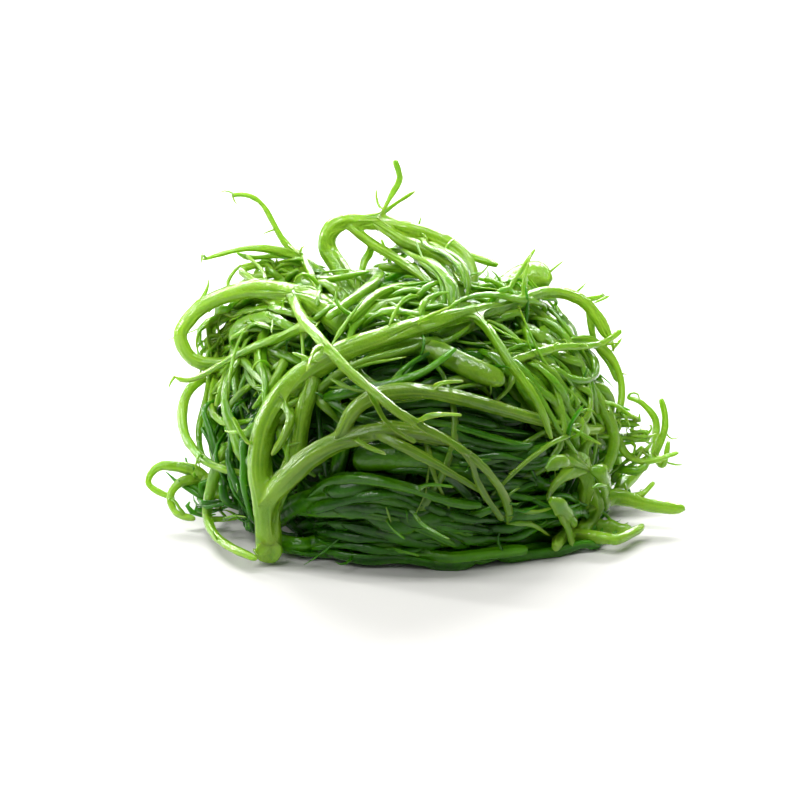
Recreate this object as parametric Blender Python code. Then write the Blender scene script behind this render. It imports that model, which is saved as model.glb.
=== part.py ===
"""A heap of salted gracilaria: branched, rubbery seaweed fronds tangled over a matted heart.

Each frond is one solid: a stem with its forks and side shoots fused to it. The heap rests on
the flat underside of its matted heart. Metres, +Z up, with the origin in the middle of that
underside and -Y towards the front of the heap.
"""

import math

import bmesh
import bpy
import numpy as np

MM = 0.001

# The front view. A front frond's route is read by eye off the front view of the heap, as
# (column, row, lift): a place on a grid of squares seen from the front, and how far in mm the
# frond stands towards the viewer from the heap's own outline.
VIEW_SQUARE = 0.2 * MM
VIEW_ELEVATION = math.radians(19.5)
VIEW_DISTANCE = 700 * MM
VIEW_MIDDLE = (400, 400)
ORIGIN_SQUARE = (405, 508)
LOWEST_SEEN = 3.0 * MM
DEPTH_EASE = 34

# The heap's outline is an ellipsoid whose lower part is cut off by the floor. Seen from the
# front, its depth falls off softly towards its rim.
HEAP_CENTRE = np.array((0.0, 0.0, 16.0)) * MM
HEAP_RADII = np.array((42.0, 38.0, 33.0)) * MM
RIM_POWER = 2.6
RIM_SOFTNESS = 0.02

# The lowest fronds lie round a wider, flatter outline.
SKIRT_CENTRE = np.array((0.0, 1.0, 2.0)) * MM
SKIRT_RADII = np.array((44.0, 40.0, 20.0)) * MM

# The matted heart that the fronds lie over: a low mound with strands half sunk in it.
HEART = "matted_heart"
HEART_RADII = np.array((24.0, 21.0, 18.0)) * MM
HEART_LUMP = 1.2 * MM
HEART_RINGS = 4
HEART_SIDES = 11
HEART_STRANDS = 15
HEART_STRAND_HEIGHTS = (0.16, 0.42, 0.68)
HEART_STRAND_LENGTH = (34, 52)
HEART_STRAND_THICKNESS = (3.8, 2.2)

# How a strand is drawn: a ring for every so much turn or length, and fewer sides on a thin
# one. Thicknesses are in mm.
LONGEST_STEP = 7.5 * MM
SHORTEST_STEP = 2.2 * MM
MOST_TURN = math.radians(35)
SIDES_BELOW = ((1.6, 3), (2.7, 4), (4.4, 5))
MOST_SIDES = 6
TIP_LENGTH = 0.9

# The kinds of strand, each as (how coarse its rings are, how easily it gives way).
SEEN = (1.0, 0.1)
COVERED = (1.3, 1.0)
SUNK = (1.3, 0.02)

# How the strands are eased apart. A shift is spread along its strand, less and less as the
# heap settles.
GAP = 0.45 * MM
FLOOR_GAP = 0.5 * MM
SETTLING_STEPS = 360
PAIRS_EVERY = 6
NEAR = 1.5 * MM
PUSH = 1.3
FIRST_SPREAD = 0.6
LAST_SPREAD = 0.01

SEED = 30

FROND_GREEN = (0.13, 0.36, 0.035, 1.0)
HEART_GREEN = (0.03, 0.13, 0.015, 1.0)
WET_ROUGHNESS = 0.25

# The fronds of the front of the heap. Each strand is (thickness at its root and tip in mm,
# breadth over thickness, route). The first is the stem and the others spring from it, from
# the nearest point of an earlier strand to the first point of their route.
FRONT_FRONDS = {
    "forked_stalk_frond": [
        (5.2, 2.2, 1.0, [(267, 553, 12), (266, 530, 12), (264, 505, 8), (258, 480, 5), (256, 455, 4),
                         (262, 427, 4), (276, 400, 4), (298, 378, 4), (326, 360, 4), (356, 349, 4),
                         (390, 339, 4), (426, 330, 4), (456, 321, 4), (484, 316, 4), (508, 309, 4),
                         (536, 298, 3), (560, 296, 3), (582, 303, 3), (598, 316, 3), (608, 334, 3)]),
        (4.4, 1.3, 1.1, [(265, 510, 8), (282, 491, 6), (300, 474, 4), (320, 460, 2), (344, 450, 2),
                         (372, 444, 2), (402, 444, 2), (432, 450, 2), (462, 459, 1), (492, 468, 0),
                         (522, 478, -2), (546, 492, -4)]),
        (2.4, 1.1, 1.0, [(362, 446, 2), (390, 453, 3), (420, 462, 3), (452, 474, 2), (482, 488, 1)]),
        (3.8, 3.0, 1.0, [(298, 476, 1), (304, 455, 0), (305, 428, 0), (309, 402, 1), (318, 380, 1)]),
        (3.0, 2.2, 1.0, [(330, 454, 2), (338, 436, 3), (350, 418, 3), (368, 406, 3), (392, 399, 3),
                         (420, 397, 3), (452, 401, 2), (484, 408, 2), (518, 416, 2), (552, 424, 1),
                         (584, 430, 1), (606, 428, 1)]),
        (2.2, 1.3, 1.0, [(466, 321, 4), (480, 333, 5), (496, 352, 5), (512, 373, 5), (528, 392, 5),
                         (541, 412, 5), (549, 434, 3)]),
        (2.6, 1.0, 1.0, [(286, 396, 5), (291, 412, 5), (288, 428, 5), (281, 442, 5), (274, 452, 5)]),
    ],
    "left_loop_frond": [
        (3.6, 2.0, 1.35, [(346, 334, -6), (326, 319, -2), (304, 311, 1), (280, 306, 3), (250, 303, 3),
                          (222, 308, 3), (200, 319, 2), (186, 334, 2), (184, 349, 2), (194, 362, 1),
                          (214, 367, -1), (236, 362, -4), (256, 352, -8)]),
        (2.5, 1.5, 1.0, [(302, 313, 1), (310, 334, 5), (330, 356, 7), (354, 380, 7), (376, 399, 7),
                         (398, 417, 7), (426, 433, 7), (454, 447, 6), (476, 462, 6), (492, 478, 5),
                         (503, 494, 5), (509, 512, 4), (508, 526, 2)]),
        (1.9, 0.9, 1.0, [(311, 335, 5), (292, 343, 5), (265, 351, 4), (238, 361, 3), (210, 375, 3),
                         (190, 382, 3), (176, 377, 3)]),
        (2.6, 2.0, 1.0, [(308, 313, 1), (292, 319, -1), (262, 316, -2), (238, 321, -2), (222, 333, -2),
                         (212, 348, -2)]),
        (1.8, 1.0, 1.0, [(266, 304, 3), (252, 290, 0), (243, 280, -1), (252, 270, -1), (274, 266, -1),
                         (298, 270, -1)]),
        (1.5, 0.8, 1.0, [(364, 390, 7), (376, 412, 5), (392, 430, 4), (412, 440, 4)]),
        (1.7, 1.0, 1.0, [(478, 464, 6), (480, 482, 4), (490, 502, 3), (500, 516, 3)]),
    ],
    "top_loop_frond": [
        (3.4, 3.2, 1.1, [(414, 338, -12), (392, 324, -9), (370, 313, -6), (348, 297, -4), (330, 277, -2),
                         (319, 257, 1),
                         (323, 238, 3), (340, 227, 3), (364, 225, 3), (392, 230, 3), (420, 237, 3),
                         (446, 246, 3), (468, 260, 3), (480, 281, 3), (479, 302, -2), (470, 318, -8)]),
        (3.0, 3.4, 1.3, [(372, 226, 3), (398, 244, 3), (422, 254, 4), (446, 266, 4), (464, 284, 2),
                         (462, 306, -4), (452, 326, -10)]),
        (2.2, 1.6, 1.0, [(350, 226, 3), (372, 246, 3), (396, 262, 4), (418, 276, 4), (436, 292, 4),
                         (446, 310, 3)]),
        (1.7, 1.3, 1.0, [(362, 236, 3), (361, 256, 1), (357, 280, -1), (352, 298, -3)]),
        (1.9, 1.1, 1.0, [(372, 228, 3), (378, 214, 2), (390, 196, 2), (399, 180, 2), (396, 163, 2)]),
        (1.7, 1.3, 1.0, [(462, 258, 3), (478, 262, 2), (494, 264, 2)]),
    ],
    "top_left_frond": [
        (3.0, 0.8, 1.0, [(352, 306, -4), (336, 286, -3), (318, 268, -2), (298, 254, -1), (284, 239, 0),
                         (272, 216, 1), (259, 201, 1), (247, 195, 1), (235, 195, 1)]),
        (2.2, 0.8, 1.0, [(310, 263, -2), (292, 257, 0), (268, 250, 1), (244, 250, 1), (222, 254, 1),
                         (207, 258, 1)]),
        (2.0, 1.2, 1.0, [(300, 257, -1), (312, 270, 1), (320, 287, 1), (317, 305, 1)]),
    ],
    "lower_bundle_frond": [
        (3.6, 2.0, 1.2, [(276, 528, -2), (300, 508, -1), (326, 498, 0), (356, 497, 0), (388, 502, 0),
                         (420, 511, 0), (448, 523, 0), (474, 536, 0), (500, 547, 0)]),
        (2.8, 1.6, 1.0, [(312, 502, -1), (330, 486, 0), (358, 481, 1), (390, 485, 1), (422, 492, 1),
                         (452, 503, 1), (476, 504, 1)]),
        (2.6, 1.6, 1.0, [(294, 514, -1), (322, 517, 1), (354, 516, 1), (388, 519, 1), (420, 529, 1),
                         (452, 543, 1)]),
        (2.2, 1.2, 1.0, [(448, 523, 0), (470, 518, 1), (492, 506, 1), (506, 498, 1)]),
    ],
    "front_foot_frond": [
        (3.2, 2.2, 1.2, [(268, 541, -2), (292, 546, 0), (320, 542, 0), (352, 540, 0), (386, 545, 0),
                         (420, 552, 0), (450, 556, 0), (484, 552, 0), (520, 548, 0)]),
        (2.4, 1.4, 1.0, [(330, 541, 0), (356, 530, -1), (388, 532, -1), (424, 540, -1), (456, 546, -1)]),
        (2.4, 1.6, 1.0, [(420, 552, 0), (446, 541, -2), (474, 524, -2), (504, 520, -2), (530, 530, -2)]),
    ],
    "tongue_frond": [
        (3.2, 3.6, 1.3, [(372, 352, -4), (398, 346, -3), (424, 344, -2), (446, 353, 0), (468, 364, 1),
                         (488, 373, 1), (504, 380, 1)]),
        (1.8, 1.0, 1.0, [(424, 344, -2), (420, 326, -3), (428, 306, -1), (438, 295, 1), (450, 294, 1)]),
        (1.8, 1.0, 1.0, [(398, 346, -3), (392, 326, -2), (400, 306, 0), (412, 294, 1), (424, 293, 1)]),
    ],
    "middle_sweep_frond": [
        (4.4, 2.2, 1.3, [(352, 470, -3), (384, 464, -2), (416, 462, -1), (450, 466, 0), (484, 476, 0),
                         (518, 484, 0), (550, 480, 0), (578, 468, 0)]),
        (2.6, 1.4, 1.0, [(416, 462, -1), (444, 480, -1), (470, 500, -1), (488, 522, -1)]),
        (2.2, 1.2, 1.0, [(484, 476, 0), (512, 462, 1), (540, 454, 1), (566, 446, 1)]),
    ],
    "cross_frond": [
        (2.6, 1.4, 1.0, [(322, 396, -1), (340, 392, 1), (360, 390, 1), (384, 386, 1), (410, 380, 1),
                         (434, 370, 1), (454, 356, 1)]),
        (2.0, 1.2, 1.0, [(334, 393, 0), (352, 410, -1), (374, 420, -1), (400, 424, -1), (430, 424, -1),
                         (462, 432, 0), (494, 444, 0), (524, 452, 0)]),
        (1.6, 0.9, 1.0, [(384, 386, 1), (404, 368, 1), (430, 352, 0)]),
    ],
    "right_fan_frond": [
        (3.6, 2.0, 1.1, [(524, 330, -3), (546, 342, -1), (566, 360, 0), (584, 382, 1), (600, 404, 1),
                         (612, 428, 1), (612, 456, 1), (600, 480, 0)]),
        (2.4, 1.4, 1.0, [(540, 338, -2), (566, 334, 0), (590, 340, 1), (608, 356, 1), (619, 378, 1),
                         (621, 402, 1), (614, 430, 1)]),
        (1.9, 0.9, 1.0, [(612, 436, 1), (622, 454, 1), (640, 462, 1), (658, 460, 1), (674, 454, 1)]),
        (2.8, 1.6, 1.0, [(530, 333, -3), (540, 360, -1), (552, 384, 0), (566, 406, 0), (582, 422, 0)]),
    ],
    "right_thread_frond": [
        (2.0, 1.1, 1.0, [(512, 362, 0), (532, 356, 2), (558, 350, 3), (584, 348, 3), (604, 342, 3),
                         (617, 332, 3)]),
        (1.6, 0.9, 1.0, [(520, 360, 1), (512, 378, 1), (496, 390, 0)]),
    ],
    "leaf_tip_frond": [
        (2.4, 3.0, 2.1, [(476, 330, -8), (490, 306, -7), (508, 288, -6), (528, 276, -6), (546, 275, -6)]),
        (1.8, 0.8, 1.0, [(486, 312, -7), (500, 298, -3), (514, 278, -1), (525, 263, -1), (533, 252, -1)]),
        (1.8, 1.0, 1.0, [(500, 296, -6), (528, 296, -8), (556, 294, -8), (584, 300, -8), (602, 296, -8)]),
    ],
    "right_cluster_frond": [
        (2.6, 4.0, 1.2, [(556, 546, -5), (568, 530, -1), (578, 508, 1), (587, 482, 1), (582, 460, 1),
                         (566, 452, 1)]),
        (3.8, 2.2, 1.2, [(580, 504, 1), (600, 496, 1), (620, 494, 2), (640, 502, 2), (660, 505, 2),
                         (678, 509, 2)]),
        (3.4, 3.0, 1.0, [(586, 482, 1), (596, 500, 2), (590, 518, 3), (582, 530, 3)]),
        (2.8, 1.8, 1.0, [(584, 462, 1), (588, 446, 1), (602, 440, 1), (614, 448, 1)]),
        (4.2, 0.9, 1.0, [(574, 456, 1), (562, 466, 2), (550, 482, 2), (543, 496, 1)]),
        (1.6, 0.8, 1.0, [(632, 498, 2), (645, 494, 2), (652, 484, 2)]),
        (2.8, 1.8, 1.2, [(572, 530, 0), (596, 534, 1), (618, 538, 1), (640, 528, 1)]),
    ],
    "right_rear_frond": [
        (2.8, 1.2, 1.0, [(606, 476, -10), (622, 466, -13), (640, 456, -15), (655, 441, -16),
                         (664, 422, -16), (662, 402, -16)]),
        (2.2, 1.1, 1.0, [(636, 458, -15), (642, 438, -17), (648, 418, -17), (640, 402, -17),
                         (630, 398, -17)]),
        (2.0, 1.0, 1.0, [(640, 456, -15), (652, 464, -13), (664, 458, -12), (668, 444, -12)]),
    ],
    "left_tail_frond": [
        (2.4, 1.6, 1.0, [(232, 452, 0), (224, 474, 1), (218, 498, 1), (214, 520, 2), (220, 538, 2),
                         (236, 549, 2), (254, 557, 1)]),
        (1.6, 0.9, 1.0, [(216, 524, 2), (232, 522, 1), (246, 516, -1)]),
    ],
    "left_dark_frond": [
        (3.4, 2.2, 1.2, [(206, 424, -1), (212, 446, 0), (222, 468, 0), (233, 490, 0), (243, 508, 0),
                         (250, 528, 0)]),
        (2.4, 1.6, 1.0, [(212, 446, 0), (232, 464, -1), (246, 480, -2), (254, 496, -3)]),
    ],
    "far_left_frond": [
        (3.2, 1.0, 1.0, [(222, 500, -4), (208, 488, -3), (198, 474, -2), (182, 467, -1), (164, 466, 0),
                         (151, 473, 0), (149, 484, 0), (158, 493, 0), (172, 498, 0)]),
        (2.2, 1.2, 1.0, [(206, 486, -3), (190, 484, 0), (176, 490, 1), (171, 502, 1), (178, 514, 1),
                         (192, 518, 1)]),
    ],
    "left_arc_frond": [
        (2.2, 1.4, 1.0, [(216, 368, -3), (198, 380, -1), (188, 400, 1), (189, 424, 1), (202, 446, 1),
                         (222, 464, 1), (246, 474, 1)]),
        (2.0, 1.2, 1.0, [(206, 374, -2), (205, 396, 0), (212, 416, 0), (230, 424, 1), (250, 420, 1)]),
    ],
    "lit_pair_frond": [
        (2.2, 1.2, 1.0, [(284, 362, 1), (278, 376, 1), (271, 390, 1), (258, 408, 1)]),
        (1.6, 1.0, 1.0, [(280, 372, 1), (262, 384, 1), (240, 396, 0), (226, 412, -1)]),
    ],
}

# The fronds of the sides, the back and the inside follow one rule. Each row is (name, how
# many, where they start round the heap in degrees with 0 at the right and 90 at the back,
# where they start above the floor in mm, share of the outline's size that they lie at, and
# the stem's length and thickness in mm).
COVERED_FRONDS = (
    ("inner_frond", 4, (0, 360), (4, 16), 0.78, 92, 4.4),
    ("front_inner_frond", 4, (215, 325), (6, 24), 0.84, 76, 3.6),
    ("back_frond", 6, (15, 165), (4, 16), 0.95, 100, 4.6),
    ("crown_frond", 3, (30, 150), (24, 34), 0.76, 72, 4.0),
    ("base_frond", 5, (-25, 205), (3, 7), 1.0, 80, 3.8),
)
STEM_TIP_SHARE = 0.45
FORKS = 3
FORK_FROM = 0.22
FORK_SPAN = 0.5
FORK_LENGTH = (22, 46)
FORK_SPREAD = (0.45, 0.85)
FORK_SHARE = (0.5, 0.7)
FORK_TIP_SHARE = 0.5
STEEP_START = (0.25, 0.95)
LEVEL_START = (0.1, 0.3)

# A covered stem wanders: each step turns it by a bend that carries on from the last one, and
# near the floor it rises. Its root is drawn in, so that it springs from inside the heap.
ROUTE_STEP = 4.0 * MM
FIRST_BEND = 0.05
BEND_KEPT = 0.82
BEND_CHANGE = 0.10
FLOOR_FROM = 3 * MM
FLOOR_RANGE = 7 * MM
FLOOR_RISE = 0.55
ROOT_SINKS = 0.25
ROOT_STEPS = 4

# Short side shoots stand out of the fronds, where there is room for them, but not out of the
# thin ends. Sizes are in mm.
SHOOT_EVERY = (18, 40)
SHOOT_LENGTH = (4.5, 9.0)
SHOOT_THICKNESS = (1.3, 0.5)
SHOOT_RINGS = 5
SHOOT_TRIES = 6
SHOOT_END = 5 * MM
SHOOT_OUTWARD = 1.2
SHOOT_CURL = 0.5
SHOOT_DROOP = 0.25
SHOOT_ALONG = 0.7
SHOOT_BEND = 1.6
SHOOT_LEAST_RADIUS = 0.9 * MM


def unit(vector):
    """The vector at length one."""
    return vector / np.linalg.norm(vector)


def walk(points):
    """How far along the line each of its points is."""
    runs = np.linalg.norm(np.diff(points, axis=0), axis=1)
    return np.concatenate(((0.0,), np.cumsum(runs)))


def smooth_route(knots, fineness):
    """A Catmull-Rom curve through the knots, as closely spaced points."""
    knots = np.asarray(knots, float)
    ends = [2 * knots[0] - knots[1]], [2 * knots[-1] - knots[-2]]
    held = np.concatenate((ends[0], knots, ends[1]))
    points = []
    for before, start, end, after in zip(held, held[1:], held[2:], held[3:]):
        for t in np.arange(fineness) / fineness:
            points.append(0.5 * (2 * start + (end - before) * t
                                 + (2 * before - 5 * start + 4 * end - after) * t * t
                                 + (3 * start - before - 3 * end + after) * t ** 3))
    return np.array(points + [knots[-1]])


def lines_of_sight(squares):
    """The viewer's eye and a unit vector from it through each square of the front view."""
    forward = np.array((0.0, math.cos(VIEW_ELEVATION), -math.sin(VIEW_ELEVATION)))
    upward = np.array((0.0, math.sin(VIEW_ELEVATION), math.cos(VIEW_ELEVATION)))
    rightward = np.array((1.0, 0.0, 0.0))
    off_column = (VIEW_MIDDLE[0] - ORIGIN_SQUARE[0]) * VIEW_SQUARE
    off_row = (ORIGIN_SQUARE[1] - VIEW_MIDDLE[1]) * VIEW_SQUARE
    eye = rightward * off_column + upward * off_row - forward * VIEW_DISTANCE
    across = (squares[:, 0] - VIEW_MIDDLE[0])[:, None] * VIEW_SQUARE
    up = (VIEW_MIDDLE[1] - squares[:, 1])[:, None] * VIEW_SQUARE
    sight = forward * VIEW_DISTANCE + rightward * across + upward * up
    return eye, sight / np.linalg.norm(sight, axis=1)[:, None]


def line_on_heap(route):
    """The line seen along a route of the front view, with its depth eased, in metres."""
    squares = smooth_route(route, 6)
    eye, sight = lines_of_sight(squares)
    start, run = (eye - HEAP_CENTRE) / HEAP_RADII, sight / HEAP_RADII
    a, b = (run * run).sum(1), run @ start
    off_centre = np.linalg.norm(start - run * (b / a)[:, None], axis=1)
    inside = 1 - off_centre ** RIM_POWER
    bulge = (inside + np.sqrt(inside ** 2 + RIM_SOFTNESS)) / 2
    reach = -b / a - bulge / np.sqrt(a) - squares[:, 2] * MM
    window = np.hanning(min(len(reach), DEPTH_EASE) // 2 * 2 + 1)
    padded = np.pad(reach, len(window) // 2, mode="reflect", reflect_type="odd")
    reach = np.convolve(padded, window / window.sum(), "valid")
    to_floor = (LOWEST_SEEN - eye[2]) / sight[:, 2]
    return eye + sight * np.minimum(reach, to_floor)[:, None]


def respaced(points, coarseness):
    """The same line with points closer together where it turns."""
    runs = np.linalg.norm(np.diff(points, axis=0), axis=1)
    ways = np.diff(points, axis=0) / runs[:, None]
    turns = np.arccos(np.clip((ways[1:] * ways[:-1]).sum(1), -1, 1))
    turns = np.concatenate((turns[:1], (turns[1:] + turns[:-1]) / 2, turns[-1:]))
    need = np.clip(turns / MOST_TURN, runs / LONGEST_STEP, runs / SHORTEST_STEP) / coarseness
    along = np.concatenate(((0.0,), np.cumsum(need)))
    marks = np.linspace(0, along[-1], max(3, math.ceil(along[-1]) + 1))
    return np.stack([np.interp(marks, along, points[:, k]) for k in range(3)], axis=1)


def refined(points, parts=4):
    """The same line with each of its pieces split into equal parts."""
    steps = np.arange(len(points))
    marks = np.linspace(0, steps[-1], steps[-1] * parts + 1)
    return np.stack([np.interp(marks, steps, points[:, k]) for k in range(3)], axis=1)


class Strand:
    """One stem or branch: its line, its thickness along it, and what it springs from."""

    def __init__(self, frond, points, thickness, breadth=1.0, parent=None, kind=SEEN):
        self.frond = frond
        self.kind = kind
        self.points = respaced(points, kind[0])
        self.thickness = thickness
        self.breadth = breadth
        self.parent = parent
        self.knot = 0
        if parent is not None:
            self.knot = int(np.linalg.norm(parent.points - self.points[0], axis=1).argmin())
            shift = parent.points[self.knot] - self.points[0]
            fade = np.linspace(1, 0, len(self.points)) ** 2
            self.points = self.points + shift * fade[:, None]

    @property
    def radii(self):
        """The radius at each point: an even taper from root to tip, soft at both ends."""
        along = walk(self.points)
        share = along / along[-1]
        taper = share * share * (3 - 2 * share)
        root, tip = self.thickness
        return (root + (tip - root) * taper) * MM / 2

    @property
    def sides(self):
        """How many sides its tube has."""
        for limit, sides in SIDES_BELOW:
            if max(self.thickness) < limit:
                return sides
        return MOST_SIDES


def front_strands():
    """The strands of the front fronds, from their routes."""
    strands = []
    for frond, specs in FRONT_FRONDS.items():
        own = []
        for root, tip, breadth, route in specs:
            points = line_on_heap(route)
            near = None
            if own:
                near = min(own, key=lambda s: np.linalg.norm(s.points - points[0], axis=1).min())
            own.append(Strand(frond, points, (root, tip), breadth, near))
        strands += own
    return strands


def wander(rng, start, heading, length, centre, radii):
    """A route that hugs an ellipsoid, turning as it goes and rising off the floor."""
    point, way = start, heading
    bend = rng.normal(0, FIRST_BEND)
    points = [point]
    for _ in range(int(length / ROUTE_STEP)):
        outward = unit((point - centre) / radii ** 2)
        bend = BEND_KEPT * bend + rng.normal(0, BEND_CHANGE)
        way = unit(way - outward * (way @ outward))
        way = way * math.cos(bend) + np.cross(outward, way) * math.sin(bend)
        floor_near = max(0.0, 1 - (point[2] - FLOOR_FROM) / FLOOR_RANGE)
        way = unit(way + np.array((0, 0, FLOOR_RISE)) * floor_near)
        point = point + way * ROUTE_STEP
        scaled = (point - centre) / radii
        point = centre + radii * scaled / np.linalg.norm(scaled)
        points.append(point)
    return np.array(points)


def sink_root(points, centre):
    """The same route with its start drawn in towards the centre, so that it rises from inside."""
    depth = np.clip(1 - np.arange(len(points)) / ROOT_STEPS, 0, 1)[:, None] * ROOT_SINKS
    return points * (1 - depth) + centre * depth


def start_on_outline(azimuth, height, centre, radii):
    """The point of an ellipsoid at this azimuth in degrees and height in metres."""
    rise = np.clip((height - centre[2]) / radii[2], -0.98, 0.98)
    flat = math.sqrt(1 - rise * rise)
    turn = math.radians(azimuth)
    return centre + radii * np.array((math.cos(turn) * flat, math.sin(turn) * flat, rise))


def covered_frond(rng, frond, azimuth, height, centre, radii, length_mm, thick_mm):
    """A wandering stem with forks that leave it to either side in turn."""
    start = start_on_outline(azimuth, height, centre, radii)
    outward = unit((start - centre) / radii ** 2)
    level = unit(np.cross(outward, (0, 0, 1)))
    upward = np.cross(level, outward)
    slant = rng.uniform(*STEEP_START) * rng.choice((-1, 1))
    if frond.startswith("base"):
        slant = rng.uniform(*LEVEL_START) * (-1 if azimuth < 90 else 1)
    heading = unit(level * math.copysign(math.cos(slant), slant) + upward * abs(math.sin(slant)))
    length = length_mm * MM * rng.uniform(0.85, 1.2)
    line = sink_root(wander(rng, start, heading, length, centre, radii), centre)
    thick = thick_mm * rng.uniform(0.8, 1.15)
    stem = Strand(frond, smooth_route(line, 4), (thick, thick * STEM_TIP_SHARE), kind=COVERED)
    strands = [stem]
    for fork in range(FORKS):
        share = FORK_FROM + FORK_SPAN * (fork + rng.uniform(0, 0.6)) / FORKS
        at = int(len(line) * share)
        way = unit(line[at + 1] - line[at])
        outward = unit((line[at] - centre) / radii ** 2)
        side = np.cross(outward, way) * (1 if fork % 2 else -1)
        spread = rng.uniform(*FORK_SPREAD)
        leave = unit(way * math.cos(spread) + side * math.sin(spread))
        fork_length = rng.uniform(*FORK_LENGTH) * MM
        route = smooth_route(wander(rng, line[at], leave, fork_length, centre, radii), 4)
        root = thick * rng.uniform(*FORK_SHARE)
        sizes = (root, root * FORK_TIP_SHARE)
        strands.append(Strand(frond, route, sizes, parent=stem, kind=COVERED))
    return strands


def covered_strands():
    """The strands of the fronds of the sides, the back and the inside."""
    strands = []
    rng = np.random.default_rng(SEED)
    for name, count, (first, last), heights, share, length_mm, thick_mm in COVERED_FRONDS:
        centre, radii = HEAP_CENTRE, HEAP_RADII * share
        if name == "base_frond":
            centre, radii = SKIRT_CENTRE, SKIRT_RADII
        for k in range(count):
            azimuth = first + (last - first) * (k + 0.5) / count + rng.uniform(-9, 9)
            height = rng.uniform(*heights) * MM
            strands += covered_frond(rng, f"{name}_{k + 1}", azimuth, height, centre, radii,
                                     length_mm, thick_mm)
    return strands


def heart_strands():
    """Strands that lie half sunk in the heart all over it, fused to it."""
    rng = np.random.default_rng(SEED + 1)
    strands = []
    for k in range(HEART_STRANDS):
        azimuth = 360 * k / HEART_STRANDS + rng.uniform(-8, 8)
        height = HEART_RADII[2] * HEART_STRAND_HEIGHTS[k % 3]
        start = start_on_outline(azimuth, height, np.zeros(3), HEART_RADII)
        turn = math.radians(azimuth)
        heading = unit(np.array((-math.sin(turn), math.cos(turn), 0.35)))
        length = rng.uniform(*HEART_STRAND_LENGTH) * MM
        line = wander(rng, start, heading, length, np.zeros(3), HEART_RADII)
        strands.append(Strand(HEART, smooth_route(line, 4), HEART_STRAND_THICKNESS, kind=SUNK))
    return strands


def closest_between(p, p_way, q, q_way):
    """Where two sets of line pieces come nearest: the shares along each and the gap vector."""
    a = (p_way * p_way).sum(1)
    e = (q_way * q_way).sum(1)
    off = p - q
    b = (p_way * q_way).sum(1)
    c = (p_way * off).sum(1)
    f = (q_way * off).sum(1)
    spread = np.maximum(a * e - b * b, 1e-18)
    s = np.clip((b * f - c * e) / spread, 0, 1)
    t = np.clip((b * s + f) / e, 0, 1)
    s = np.clip((b * t - c) / a, 0, 1)
    return s, t, off + p_way * s[:, None] - q_way * t[:, None]


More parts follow.
